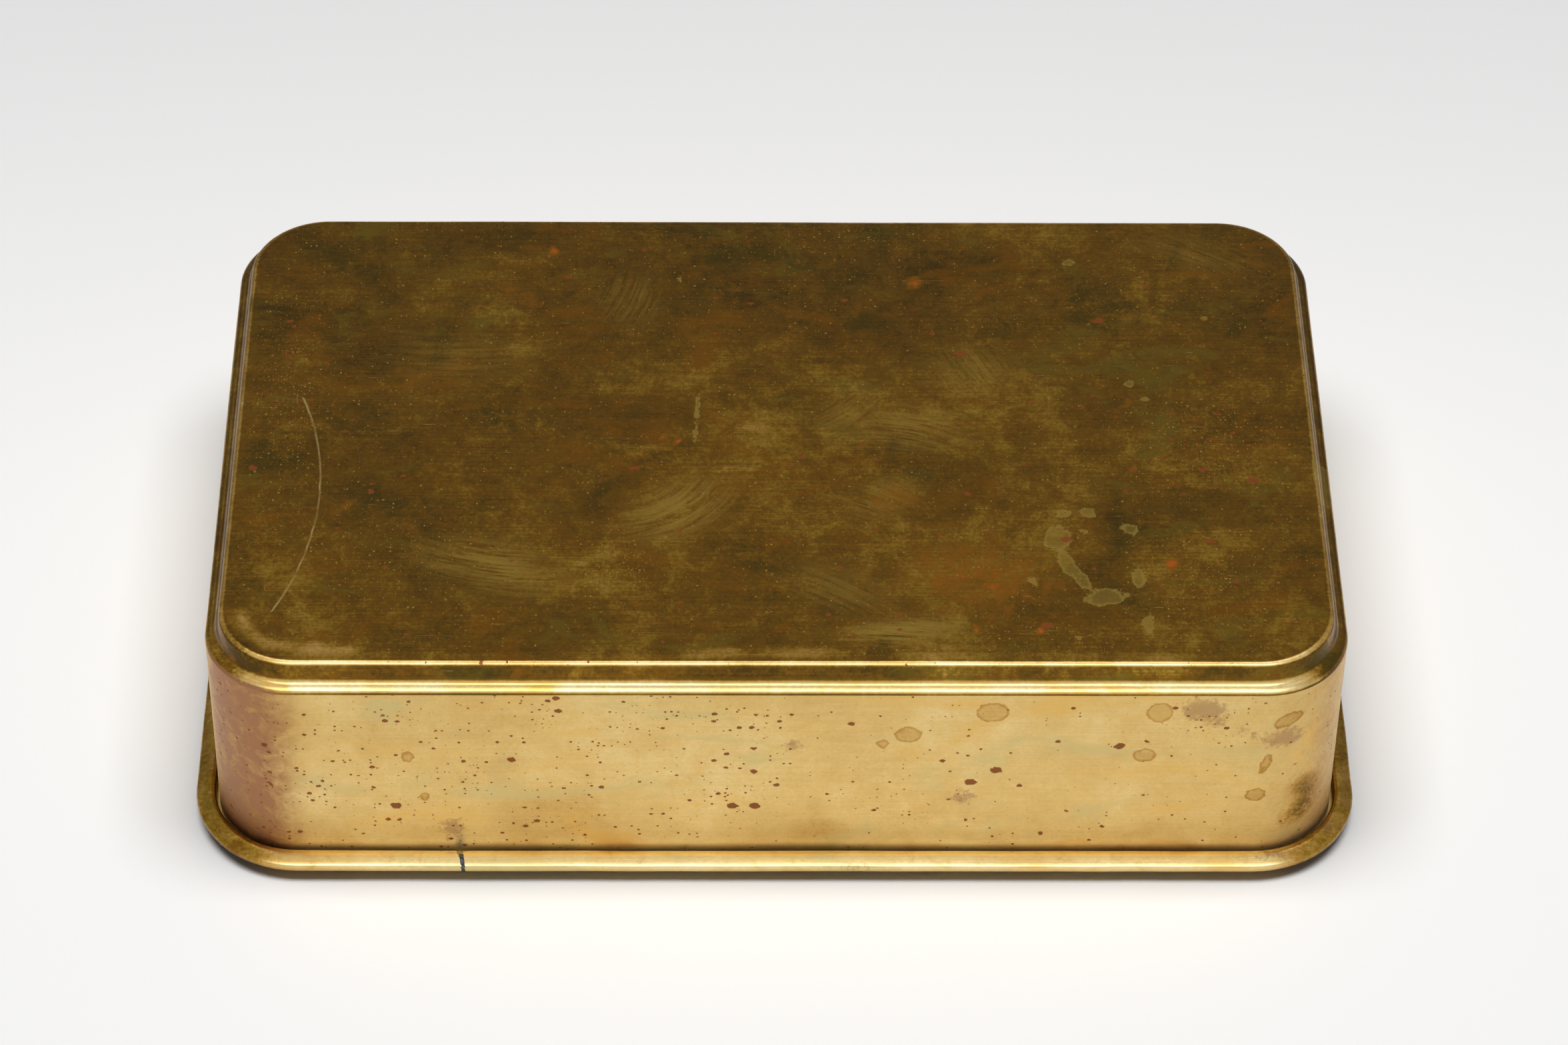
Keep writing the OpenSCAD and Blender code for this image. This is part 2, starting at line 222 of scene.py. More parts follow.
class Graph:
    """A short way to write a material's nodes."""

    def __init__(self, name):
        self.material = bpy.data.materials.new(name)
        self.material.use_nodes = True
        self.tree = self.material.node_tree
        self.shader = self.tree.nodes["Principled BSDF"]
        self.point = self.node("ShaderNodeTexCoord").outputs["Object"]

    def node(self, kind, **settings):
        made = self.tree.nodes.new(kind)
        for key, value in settings.items():
            setattr(made, key, value)
        return made

    def put(self, value, socket):
        if isinstance(value, bpy.types.NodeSocket):
            self.tree.links.new(value, socket)
        else:
            socket.default_value = value

    def math(self, operation, a, b=0.0, clamp=False):
        n = self.node("ShaderNodeMath", operation=operation, use_clamp=clamp)
        for value, socket in zip((a, b), n.inputs):
            self.put(value, socket)
        return n.outputs[0]

    def plus(self, a, b, clamp=False):
        return self.math("ADD", a, b, clamp=clamp)

    def minus(self, a, b, clamp=False):
        return self.math("SUBTRACT", a, b, clamp=clamp)

    def times(self, a, b, clamp=False):
        return self.math("MULTIPLY", a, b, clamp=clamp)

    def centred(self, value, amount):
        """A noise moved to swing about zero, by half of amount to each side."""
        return self.times(self.minus(value, 0.5), amount)

    def vector(self, operation, a, b):
        n = self.node("ShaderNodeVectorMath", operation=operation)
        self.put(a, n.inputs[0])
        self.put(b, n.inputs[1])
        return n.outputs[0]

    def ease(self, value, start, end, low=0.0, high=1.0):
        n = self.node("ShaderNodeMapRange", interpolation_type="SMOOTHSTEP")
        keys = ("Value", "From Min", "From Max", "To Min", "To Max")
        for key, item in zip(keys, (value, start, end, low, high)):
            self.put(item, n.inputs[key])
        return n.outputs[0]

    def mix(self, share, a, b):
        n = self.node("ShaderNodeMix", data_type="RGBA")
        self.put(share, n.inputs["Factor"])
        for value, socket in ((a, n.inputs[6]), (b, n.inputs[7])):
            self.put((*value, 1) if isinstance(value, tuple) else value, socket)
        return n.outputs[2]

    def attribute(self, name):
        return self.node("ShaderNodeAttribute", attribute_name=name).outputs["Fac"]

    def axes(self, point=None):
        n = self.node("ShaderNodeSeparateXYZ")
        self.put(point or self.point, n.inputs[0])
        return n.outputs

    def stretched(self, scale, point=None):
        """The point in millimetres times scale, so a noise runs along the axis with the smallest one."""
        return self.vector("MULTIPLY", point or self.point, tuple(s / MM for s in scale))

    def noise(self, size, detail=3.0, rough=0.55, warp=0.0, stretch=(1, 1, 1), point=None, offset=0.0):
        """Noise from 0 to 1 whose blots are about size millimetres across."""
        n = self.node("ShaderNodeTexNoise")
        at = self.stretched(tuple(s / size for s in stretch), point)
        if offset:
            at = self.vector("ADD", at, (offset, offset * 0.7, offset * 1.3))
        self.put(at, n.inputs["Vector"])
        for key, value in (("Scale", 1.0), ("Detail", detail), ("Roughness", rough), ("Distortion", warp)):
            n.inputs[key].default_value = value
        return n.outputs["Fac"]

    def spots(self, size, share, radius, stretch=(1, 1), offset=0.0, ragged=0.25, skin=None):
        """Round spots on the skin: the share of its cells that hold one, and the largest radius, in cells.

        Without a skin, the cells fill space and the spots are where the surface cuts them.
        """
        flat = "2D" if skin else "3D"
        at = self.stretched((stretch[0] / size, stretch[1] / size, 1 / size), skin)
        if offset:
            at = self.vector("ADD", at, (offset, offset * 1.7, offset * 0.6))
        n = self.node("ShaderNodeTexVoronoi", voronoi_dimensions=flat)
        self.put(at, n.inputs["Vector"])
        n.inputs["Scale"].default_value = 1.0
        pick = self.axes(n.outputs["Color"])
        keep = self.math("LESS_THAN", pick[0], share)
        reach = self.times(self.math("POWER", pick[1], 2.5), radius * 0.8)
        reach = self.plus(reach, radius * 0.2)
        wobble = self.centred(self.noise(size * 0.2, 2), ragged)
        inside = self.minus(reach, self.plus(n.outputs["Distance"], wobble))
        return self.times(self.ease(inside, 0.0, radius * 0.18), keep)

    def bump(self, height, distance):
        n = self.node("ShaderNodeBump")
        n.inputs["Distance"].default_value = distance * MM
        self.put(height, n.inputs["Height"])
        return n.outputs[0]

    def finish(self, color, rough, normal, **constants):
        self.put(color, self.shader.inputs["Base Color"])
        self.put(rough, self.shader.inputs["Roughness"])
        self.put(normal, self.shader.inputs["Normal"])
        for key, value in constants.items():
            self.shader.inputs[key.replace("_", " ")].default_value = value
        return self.material


# ---- Brass, from bare metal through amber film to brown tarnish ----

BRIGHT = (0.91, 0.76, 0.42)
PALE_GOLD = (0.72, 0.51, 0.19)
AMBER = (0.50, 0.28, 0.065)
OCHRE = (0.31, 0.178, 0.021)
BROWN = (0.205, 0.100, 0.013)
DARK = (0.085, 0.048, 0.010)
GREEN_BROWN = (0.075, 0.058, 0.012)
ORANGE = (0.34, 0.135, 0.014)
PALE_STAIN = (0.40, 0.28, 0.058)
FLECK = (0.48, 0.29, 0.06)
RUBBED = (0.42, 0.262, 0.046)
SPOT = (0.26, 0.074, 0.020)
BLUSH = (0.37, 0.178, 0.082)
YELLOW = (0.74, 0.46, 0.12)
CELADON = (0.60, 0.49, 0.21)
RED_STAIN = (0.62, 0.13, 0.02)
OLIVE = (0.19, 0.128, 0.018)
RUSSET = (0.25, 0.098, 0.010)
PURPLE = (0.32, 0.165, 0.085)


def tarnish_colour(g, amount):
    """Brass colour for an amount of tarnish from 0, bare, to 1, dark brown."""
    ramp = g.node("ShaderNodeValToRGB")
    g.put(amount, ramp.inputs[0])
    stops = ramp.color_ramp.elements
    stops[0].position, stops[0].color = 0.0, (*BRIGHT, 1)
    stops[1].position, stops[1].color = 1.0, (*DARK, 1)
    for at, colour in ((0.25, PALE_GOLD), (0.5, AMBER), (0.64, OCHRE), (0.75, BROWN)):
        stops.new(at).color = (*colour, 1)
    return ramp.outputs[0]


def aged_brass(name):
    """The case's own brass, from what each vertex was painted with.

    Numbers: tarnish_and_shade (tarnish, with painted highlight and shade on the cover's edges, its wall foot
    and the rim), film (how uneven the tarnish is), warm, blush and rub (strengths), speck and dust
    (densities), dull (roughness), pale, dark and stain (distance inside a patch), scratch (distance from a
    line). Vectors: stroke (wiping) and skin (the sheet rolled out flat).
    """
    g = Graph(name)
    tarnish_and_shade, warm, rub, dull = (g.attribute(n) for n in ("tarnish_and_shade", "warm", "rub", "dull"))
    pale, dark, speck, dust = (g.attribute(n) for n in ("pale", "dark", "speck", "dust"))
    film, blush, scratch = (g.attribute(n) for n in ("film", "blush", "scratch"))
    stroke = g.node("ShaderNodeAttribute", attribute_name="stroke").outputs["Vector"]
    skin = g.node("ShaderNodeAttribute", attribute_name="skin").outputs["Vector"]

    def swing(noise, amount):
        """Noise about zero, by an amount that follows the film."""
        return g.centred(noise, g.times(film, amount))

    # Broad clouds, smaller mottling, dust and fine lines from brushing along X
    broad = g.noise(24, 3, 0.5, warp=0.8)
    mottle = g.noise(6, 5, 0.62, warp=0.8, offset=11)
    blotch = g.noise(2.2, 5, 0.68, warp=0.6, offset=37)
    grain = g.noise(0.5, 3, 0.7, offset=23)
    brushed = g.noise(0.3, 2, 0.6, stretch=(0.02, 1, 1), offset=5)
    wiped = g.noise(0.45, 4, 0.65, point=stroke, stretch=(1, 0.05, 1))

    depth = tarnish_and_shade
    swings = ((broad, 0.56), (mottle, 0.44), (blotch, 0.36), (grain, 0.36), (brushed, 0.22))
    for unevenness, amount in swings:
        depth = g.plus(depth, swing(unevenness, amount))
    # Stains with a darker outline
    fray = g.centred(g.noise(1.5, 5, 0.7, offset=31), 1.9)
    stain_field = g.plus(g.attribute("stain"), g.times(fray, 0.55))
    stained = g.times(g.ease(stain_field, -0.06, 0.06), g.ease(stain_field, 0.45, 0.05, 0.13, 0.26))
    depth = g.plus(depth, stained)
    rubbed = g.times(rub, g.ease(g.plus(wiped, g.times(blotch, 0.4)), 0.56, 0.80))
    depth = g.minus(depth, g.times(rubbed, 0.04), clamp=True)
    colour = tarnish_colour(g, depth)

    # Dark patina drifts between olive and russet, in streaks along X
    deep = g.ease(depth, 0.55, 0.75)
    drift = g.noise(10, 6, 0.66, warp=1.2, stretch=(0.55, 1, 1), offset=83)
    colour = g.mix(g.times(deep, g.ease(drift, 0.54, 0.68, 0.0, 0.8)), colour, OLIVE)
    colour = g.mix(g.times(deep, g.ease(drift, 0.46, 0.34, 0.0, 0.6)), colour, RUSSET)
    colour = g.mix(g.times(rubbed, 0.75), colour, RUBBED)

    # Thin films tint the pale brass yellow or greenish, in streaks along X
    thin = g.times(film, g.ease(depth, 0.5, 0.3, 0.0, 1.6), clamp=True)
    streaks = g.noise(7, 5, 0.65, warp=0.6, stretch=(0.35, 1, 1), offset=61)
    colour = g.mix(g.times(thin, g.ease(streaks, 0.53, 0.70)), colour, YELLOW)
    colour = g.mix(g.times(thin, g.ease(streaks, 0.47, 0.32)), colour, CELADON)
    uneven_blush = g.plus(blush, g.times(blush, g.centred(blotch, 3.2)), clamp=True)
    colour = g.mix(uneven_blush, colour, BLUSH)

    # Where it is darkest the patina turns green, in clouds
    clouds = g.noise(13, 4, 0.6, warp=0.5, offset=51)
    green = g.times(g.ease(clouds, 0.48, 0.66), g.ease(depth, 0.72, 0.9))
    colour = g.mix(g.times(green, 0.6), colour, GREEN_BROWN)

    # Orange stain, with ragged edges
    ragged = g.centred(blotch, 3.4)
    warm_edge = g.plus(warm, g.times(ragged, g.ease(warm, 0.0, 0.3)))
    colour = g.mix(g.ease(warm_edge, 0.15, 1.1, 0.0, 0.7), colour, ORANGE)
    colour = g.mix(g.ease(warm_edge, 1.05, 1.5, 0.0, 0.85), colour, RED_STAIN)

    # Fine pale dust and flecks worn through the patina
    fleck = g.spots(0.7, dust, 0.25, offset=13, skin=skin)
    mote = g.spots(0.4, dust, 0.26, offset=17, skin=skin)
    colour = g.mix(g.times(g.math("MAXIMUM", fleck, mote), 0.85), colour, FLECK)

    # Pale flakes and rings where drops dried, palest round their edge
    field = g.plus(pale, fray)
    flake = g.ease(field, -0.06, 0.12)
    rim = g.times(flake, g.ease(field, 0.55, 0.1, 0.45, 1.0))
    rim = g.times(rim, g.ease(grain, 0.3, 0.6, 0.45, 0.8))
    colour = g.mix(rim, colour, PALE_STAIN)

    # A long scratch, down to gold, and fine ones here and there
    wander = g.centred(mottle, 0.5)
    cut = g.ease(g.math("ABSOLUTE", g.plus(scratch, wander)), 0.20, 0.05)
    cut = g.times(cut, g.ease(mottle, 0.35, 0.6, 0.15, 0.6))
    hair = g.ease(g.noise(0.22, 1, 0.5, stretch=(0.03, 1, 1), offset=71, warp=0.02), 0.74, 0.80)
    hair = g.times(hair, g.ease(blotch, 0.5, 0.6, 0.0, 0.6))
    colour = g.mix(g.math("MAXIMUM", cut, hair), colour, PALE_GOLD)

    # Purple-brown patches, broken into dots where they fade
    crumble = g.centred(g.noise(0.7, 4, 0.7, offset=43), 4.2)
    patch = g.ease(g.plus(g.plus(dark, fray), crumble), -0.2, 0.9, 0.0, 0.55)
    colour = g.mix(patch, colour, PURPLE)

    # Red-brown spots, large and fine, with a darker middle
    large = g.spots(2.3, g.times(speck, 0.6), 0.28, stretch=(0.72, 1), skin=skin)
    medium = g.spots(1.25, speck, 0.26, stretch=(0.75, 1), offset=7, skin=skin)
    fine = g.spots(0.7, speck, 0.26, stretch=(0.8, 1), offset=3, skin=skin)
    spot = g.math("MAXIMUM", g.math("MAXIMUM", large, medium), fine)
    colour = g.mix(g.times(spot, 0.9), colour, SPOT)

    rough = g.plus(dull, swing(mottle, 0.12))
    rough = g.plus(rough, g.times(flake, 0.05))
    rough = g.minus(rough, g.times(rubbed, 0.05))
    rough = g.plus(rough, g.times(spot, 0.2), clamp=True)

    height = g.plus(g.times(brushed, 0.35), g.times(grain, 0.5))
    height = g.plus(height, g.times(flake, 0.4))
    height = g.minus(height, g.times(spot, 0.15))
    return g.finish(colour, rough, g.bump(height, 0.012), Metallic=1.0)


def clean_brass(name, colour, aged, roughness, brush=(1, 1, 1), scale=0.3):
    """Brass kept inside the case: an even satin with faint handling marks and dulled patches."""
    g = Graph(name)
    dulled = g.noise(9, 4, 0.55, warp=0.5)
    lines = g.noise(scale, 3, 0.6, stretch=brush)
    prints = g.noise(1.8, 5, 0.6, offset=3)
    specks = g.spots(2.0, 0.12, 0.16)
    share = g.ease(g.plus(dulled, g.centred(prints, 0.5)), 0.4, 0.75)
    tone = g.mix(g.times(share, 0.55), colour, aged)
    tone = g.mix(g.times(g.minus(lines, 0.35), 0.25), tone, BROWN)
    tone = g.mix(g.times(specks, 0.6), tone, SPOT)
    rough = g.ease(prints, 0.3, 0.7, roughness - 0.05, roughness + 0.09)
    rough = g.plus(rough, g.centred(lines, 0.14), clamp=True)
    normal = g.bump(g.plus(lines, g.times(prints, 0.4)), 0.01)
    return g.finish(tone, rough, normal, Metallic=1.0)


def needle_steel():
    g = Graph("needle_steel")
    streaks = g.noise(0.5, 3, 0.6, stretch=(1, 0.05, 1))
    clouds = g.noise(7, 4, 0.6)
    rust = g.spots(2.5, 0.16, 0.14)
    tone = g.mix(g.ease(clouds, 0.45, 0.75), (0.78, 0.79, 0.81), (0.60, 0.58, 0.55))
    tone = g.mix(g.times(rust, 0.7), tone, (0.22, 0.10, 0.05))
    rough = g.plus(g.ease(streaks, 0.3, 0.7, 0.14, 0.26), g.times(rust, 0.3))
    return g.finish(tone, rough, g.bump(streaks, 0.004), Metallic=1.0)


def solder_grey():
    g = Graph("solder_grey")
    crust = g.noise(0.35, 5, 0.65)
    clouds = g.noise(1.2, 3, 0.6, offset=2)
    tone = g.mix(g.ease(crust, 0.35, 0.65), (0.035, 0.04, 0.05), (0.16, 0.17, 0.19))
    tone = g.mix(g.ease(clouds, 0.55, 0.75, 0.0, 0.5), tone, (0.24, 0.17, 0.10))
    rough = g.ease(clouds, 0.3, 0.7, 0.45, 0.65)
    return g.finish(tone, rough, g.bump(crust, 0.05), Metallic=0.8)


def felt():
    """Dark green wool felt: matted fibres, lint and a slightly rubbed nap."""
    g = Graph("felt")
    fibres = g.noise(0.22, 6, 0.75, warp=1.5)
    strands = g.noise(0.5, 4, 0.7, warp=2.5, stretch=(1, 0.35, 1), offset=9)
    worn = g.noise(14, 3, 0.5, offset=4)
    lint = g.spots(1.2, 0.2, 0.12)
    tone = g.mix(g.ease(fibres, 0.3, 0.7), (0.018, 0.034, 0.022), (0.062, 0.098, 0.066))
    tone = g.mix(g.ease(strands, 0.55, 0.75, 0.0, 0.45), tone, (0.10, 0.14, 0.10))
    tone = g.mix(g.ease(worn, 0.5, 0.8, 0.0, 0.35), tone, (0.11, 0.13, 0.09))
    tone = g.mix(g.times(lint, 0.5), tone, (0.32, 0.31, 0.28))
    rough = g.ease(worn, 0.3, 0.7, 0.86, 0.97)
    normal = g.bump(g.plus(fibres, strands), 0.12)
    return g.finish(tone, rough, normal, Sheen_Weight=0.35, Sheen_Roughness=0.5, Specular_IOR_Level=0.2)


def paper():
    """The seamless white sweep, with a hint of tooth, painted darker towards the back."""
    g = Graph("paper")
    y = g.axes()[1]
    tooth = g.noise(0.6, 3, 0.6)
    clouds = g.noise(160, 2, 0.5)
    # Painted shade: the paper darkens from the front to behind the case, standing in for the lamp's falloff
    tone = g.mix(g.ease(y, 0.0, 0.20), (0.91, 0.91, 0.91), (0.755, 0.755, 0.755))
    tone = g.mix(g.ease(clouds, 0.3, 0.7, 0.0, 0.03), tone, (0.86, 0.86, 0.87))
    rough = g.ease(tooth, 0.3, 0.7, 0.85, 0.95)
    return g.finish(tone, rough, g.bump(tooth, 0.01), Specular_IOR_Level=0.1)


# ---- Cover ----

STEP = 0.9
PANEL_RINGS = 48
CORNER_OPENING = 0.62


def cover_profile():
    """The cover's outside as (inset, height, normal angle, stretch name), from the skirt up to the panel."""
    def add(points, name, stretch):
        points += [(*p, name) for p in stretch]

    arcs = []
    add(arcs, "shoulder", arc((0, 0), SHOULDER_R, 0, SHOULDER_TURN, 1, 7))
    add(arcs, "ledge", arc(arcs[-1][:2], LEDGE_R, SHOULDER_TURN, LEDGE_TURN, 1, 6))
    add(arcs, "cove", arc(arcs[-1][:2], COVE_R, LEDGE_TURN, RISER_LEAN, -1, 7))
    lean = math.radians(RISER_LEAN)
    foot = arcs[-1]
    for i in (1, 2, 3):
        run = RISER_H * i / 3
        arcs.append((foot[0] + run * math.sin(lean), foot[1] + run * math.cos(lean), lean, "riser"))
    add(arcs, "edge", arc(arcs[-1][:2], PANEL_R, RISER_LEAN, 90, 1, 10))
    wall_top = CASE_H - arcs[-1][1]
    rows = round((wall_top - SKIRT_Z) / STEP)
    wall = [(0, SKIRT_Z + (wall_top - SKIRT_Z) * i / rows, 0.0, "wall") for i in range(rows + 1)]
    return wall + [(d, wall_top + z, a, name) for d, z, a, name in arcs], wall_top


PROFILE, WALL_TOP = cover_profile()
PANEL_INSET = PROFILE[-1][0]


def cover_radius(inset):
    """Corners open out a little up to the panel, which widens the shoulder, and then tighten to nothing."""
    edge = CORNER_R - PANEL_INSET * CORNER_OPENING
    if inset <= PANEL_INSET:
        return CORNER_R - inset * CORNER_OPENING
    return max(0.0, edge * (1 - (inset - PANEL_INSET) / (CASE_W / 2 - PANEL_INSET)))


def build_cover():
    """The cover's shell: points, faces, and each point's outward direction, normal angle and stretch."""
    reach = CASE_W / 2 - PANEL_INSET
    inwards = [PANEL_INSET + reach * i / PANEL_RINGS for i in range(1, PANEL_RINGS + 1)]
    outer = PROFILE + [(d, CASE_H, math.pi / 2, "panel") for d in inwards]
    # The inside follows at the sheet's thickness, with fewer rings on the roof and wall
    inner = [(d, CASE_H - COVER_T, 0, "inside") for d in inwards[::-6]]
    inner += [(d + COVER_T * math.cos(a), z - COVER_T * math.sin(a), 0, "inside")
              for d, z, a, name in reversed(PROFILE) if name != "wall"]
    inner += [(COVER_T, SKIRT_Z + (WALL_TOP - SKIRT_Z) * t, 0, "inside") for t in (0.98, 0.66, 0.33, 0.02)]
    inner += [(COVER_T * 0.75, SKIRT_Z, 0, "inside"), (COVER_T * 0.25, SKIRT_Z, 0, "inside")]
    section = outer + inner
    rings, count = sweep([s[:2] for s in section], STEP, cover_radius)
    faces = ring_faces(0, len(outer) - 1, count) + ring_faces(len(outer), len(section) - 1, count)
    faces += joining_faces(len(section) - 1, 0, count)
    outwards = np.concatenate([rounded_path(0, CORNER_R, STEP)[:, 2:]] * len(rings))
    angle = np.repeat([s[2] for s in section], count)
    place = np.repeat([s[3] for s in section], count)
    return np.concatenate(rings), faces, outwards, angle, place


def paint_cover(obj, points, normals, angle, place):
    x, y, z = points.T
    panel = place == "panel"
    wall = place == "wall"
    edges = np.isin(place, ("shoulder", "ledge", "cove", "riser", "edge"))
    front = smooth(-0.3, -0.9, normals[:, 1])
    steep = np.degrees(angle)

    tarnish_and_shade = np.full(len(points), 0.30)
    film = np.full(len(points), 0.35)
    warm = np.zeros(len(points))
    rub = np.zeros(len(points))
    speck = np.zeros(len(points))
    pale = np.full(len(points), -5.0)
    dark = np.full(len(points), -5.0)
    stain = np.full(len(points), -5.0)

    # The panel is brown, darker towards its far corners and gold towards its front
    on_top = panel | (place == "edge")
    top = 0.79 + 0.05 * smooth(0, 45, y) + 0.05 * smooth(35, 75, np.abs(x)) - 0.06 * smooth(-14, -38, y)
    top -= 0.05 * cloud(x, y, (-8, -6), (48, 34), 10)
    tarnish_and_shade = np.where(on_top, top, tarnish_and_shade)
    film = np.where(on_top, 1.0, film)

    # The front edge line, the ledge, the hollow and the shoulder are painted lighter or darker by which way
    # they face, as painted highlight and shade; the riser holds patina
    turned_away = smooth(-0.97, -0.45, normals[:, 1])
    # Painted highlight: bare brass on the part of the edge arc that faces the overhead light, weaker where
    # the edge turns away from the front
    edge_highlight = smooth(30, 50, steep) * smooth(92, 72, steep) * (1 - 0.55 * turned_away)
    # Painted highlight's tail on the panel just behind its front edge
    edge_highlight_tail = smooth(1.6, 0, y + CASE_W / 2 - PANEL_INSET) * front
    tarnish_and_shade = np.where(panel, tarnish_and_shade - 0.16 * edge_highlight_tail, tarnish_and_shade)
    tarnish_and_shade = np.where(place == "edge", tarnish_and_shade * (1 - edge_highlight) + 0.12 * edge_highlight, tarnish_and_shade)
    tarnish_and_shade = np.where(place == "riser", 0.80, tarnish_and_shade)
    # The hollow holds dark patina, painted lighter towards the ledge as a highlight, on the front only
    hollow = 0.78 - 0.62 * smooth(14, 46, steep) * (1 - 0.9 * turned_away)
    tarnish_and_shade = np.where(place == "cove", hollow, tarnish_and_shade)
    # Painted shade: the ledge is bare brass on the front, painted darker where it turns away from the front
    # and on the right side, with a faint darker line at one angle
    ledge = 0.10 + 0.05 * np.exp(-((steep - 60.5) / 1.8) ** 2) + 0.58 * turned_away
    ledge = ledge + 0.10 * smooth(0.5, 0.9, normals[:, 0])
    tarnish_and_shade = np.where(place == "ledge", ledge, tarnish_and_shade)
    # Painted shade on the shoulder: a dark line where it turns from the wall towards the ledge, and darker
    # where it turns away from the front
    shoulder_shade_line = 0.14 + 0.6 * smooth(42, 20, steep) * smooth(-6, 8, steep)
    tarnish_and_shade = np.where(place == "shoulder", np.maximum(shoulder_shade_line, 0.60 * turned_away), tarnish_and_shade)
    film = np.where(edges & (place != "edge"), 0.7 + 0.25 * turned_away, film)
    film = np.where(place == "riser", 1.3, film)
    corner_dirt = cloud(x, y, (-71, -43), (9, 8)) + 0.6 * cloud(x, y, (72, -43), (7, 6))
    tarnish_and_shade = np.where(edges, tarnish_and_shade + 0.34 * corner_dirt, tarnish_and_shade)
    film = np.where(edges, film + 0.9 * corner_dirt, film)

    # Warm clouds and wiped patches on the panel: middle, half sizes, turn, strength
    for at, size, turn, much in (
        ((27, -28), (17, 11), -8, 0.95), ((16, -13), (5, 4), 30, 0.95), ((-49, 11), (5, 6), 0, 0.7),
        ((-36, 28), (7, 4), -30, 0.6), ((-58, -14), (4, 5), 0, 0.6), ((19.5, 30.5), (2, 2), 0, 1.6),
        ((52, -25.5), (1.5, 2.6), -20, 2.0), ((-31, 37.3), (1.1, 1.1), 0, 2.6),
        ((34.2, -38.1), (1.1, 1.0), 0, 2.6), ((26, -37.5), (0.9, 1.3), 0, 1.8),
        ((-15.2, -0.7), (0.7, 0.7), 0, 2.2), ((-13.2, -1.6), (0.6, 1.2), 0, 2.0),
        ((47, 6), (8, 6), 0, 0.4), ((-53, 21), (20, 6), 0, 0.3),
    ):
        warm = np.maximum(warm, on_top * much * cloud(x, y, at, size, turn))

    stroke = np.column_stack((y, x, z))
    swirls = (
        # patch middle, half sizes, turn, centre the strokes go round, strength
        ((-13, -15), (12, 7), 35, (-22, -4), 1.3), ((-38, -26), (14, 7), -20, (-30, 20), 1.2),
        ((16, -38), (11, 3.4), 8, (10, -90), 1.7), ((18, 1), (12, 7), -10, (12, -22), 0.9),
        ((27, 13), (9, 8), 20, (60, 30), 0.6), ((10, 4), (8, 5), 40, (-5, 20), 0.7),
        ((-20, 27), (7, 8), 10, (-60, 40), 0.6), ((14, -13), (8, 5), 30, (0, -40), 0.8),
        ((-44, 15), (14, 7), 0, (-44, 80), 0.5), ((8, -30), (12, 6), -25, (-10, -60), 0.6),
        ((60, 37), (12, 6), -15, (40, 0), 0.5),
    )
    for at, size, turn, centre, much in swirls:
        patch = on_top * much * cloud(x, y, at, size, turn)
        inside = patch > rub
        rub = np.maximum(rub, patch)
        away = np.hypot(x - centre[0], y - centre[1])
        run = np.arctan2(y - centre[1], x - centre[0]) * away
        stroke[inside] = np.column_stack((away, run, z))[inside]

    # Gold where hands lift the cover: the front corners and the front edge
    corner_line = ((-70, -35.6), (-68.5, -38.6), (-65.5, -40.8), (-55, -41.6))
    corner_rub = np.exp(-(along(x, y, corner_line, 0) / 0.9) ** 2)
    tarnish_and_shade = np.where(on_top, tarnish_and_shade - 0.26 * corner_rub, tarnish_and_shade)
    front_stripe = np.exp(-((y + 41.9) / 0.8) ** 2) * smooth(-14, -8, x) * smooth(10, 5, x)
    tarnish_and_shade = np.where(on_top, tarnish_and_shade - 0.22 * front_stripe, tarnish_and_shade)

    # Dried drops on the panel
    for at, size, turn in (
        ((37.3, -20.5), (1.9, 2.4), -20), ((38.5, -25.5), (1.1, 3.0), 25), ((40.2, -28.4), (0.9, 2.2), 25),
        ((43, -31.7), (3.0, 1.5), 10), ((47.6, -28), (0.9, 2.4), 5), ((47, -18.8), (1.3, 1.1), 0),
        ((41.5, -15.5), (1.2, 0.9), 0), ((38.2, -15.8), (1.0, 0.8), 20), ((33.8, -28.6), (0.6, 1.0), 30),
        ((41, -19.3), (1.0, 0.5), 0), ((48.5, -36.5), (0.8, 1.8), 0), ((-13.2, 31.2), (0.4, 1.0), 0),
        ((48.5, 10), (0.75, 0.75), 0), ((50.4, 6.9), (0.6, 0.6), 0), ((39.3, -39), (0.6, 0.5), 0),
        ((41.4, 35.2), (0.9, 0.9), 0), ((59.6, 23.5), (0.6, 0.6), 0), ((67.5, 6.9), (0.4, 0.4), 0),
    ):
        pale = np.maximum(pale, np.where(on_top, island(x, y, at, size, turn), -5))
    # Lacy ones, where only the ragged parts of the patch show
    for at, size, turn in (
        ((-55, -36), (6.0, 2.6), -10), ((42, -25), (6.5, 7.0), 0), ((-10.6, 3), (1.3, 6), 0),
        ((23.5, 35), (1.8, 5), 0), ((47, -36), (2.4, 3), 0), ((-21, -26), (4.5, 5.0), 0),
    ):
        pale = np.maximum(pale, np.where(on_top, np.minimum(island(x, y, at, size, turn), 0.6) - 1.05, -5))
    pale = np.maximum(pale, np.where(on_top, along(x, y, ((-10.6, 7), (-10.7, 2), (-10.9, -2)), 0.25), -5))
    pale = np.maximum(pale, np.where(edges, island(y, z, (-7.5, WALL_TOP + 1.5), (4, 3)), -5)
                      * (x > 60) - 5 * (x <= 60))

    # Specks: a dotted fingerprint, the right side, and a few everywhere
    speck = np.where(on_top, 0.05, speck)
    for at, size, much in (
        ((57, -2), (20, 18), 0.30), ((58, -28), (16, 14), 0.35), ((-66, 10), (9, 20), 0.2),
    ):
        speck = np.maximum(speck, on_top * much * cloud(x, y, at, size))

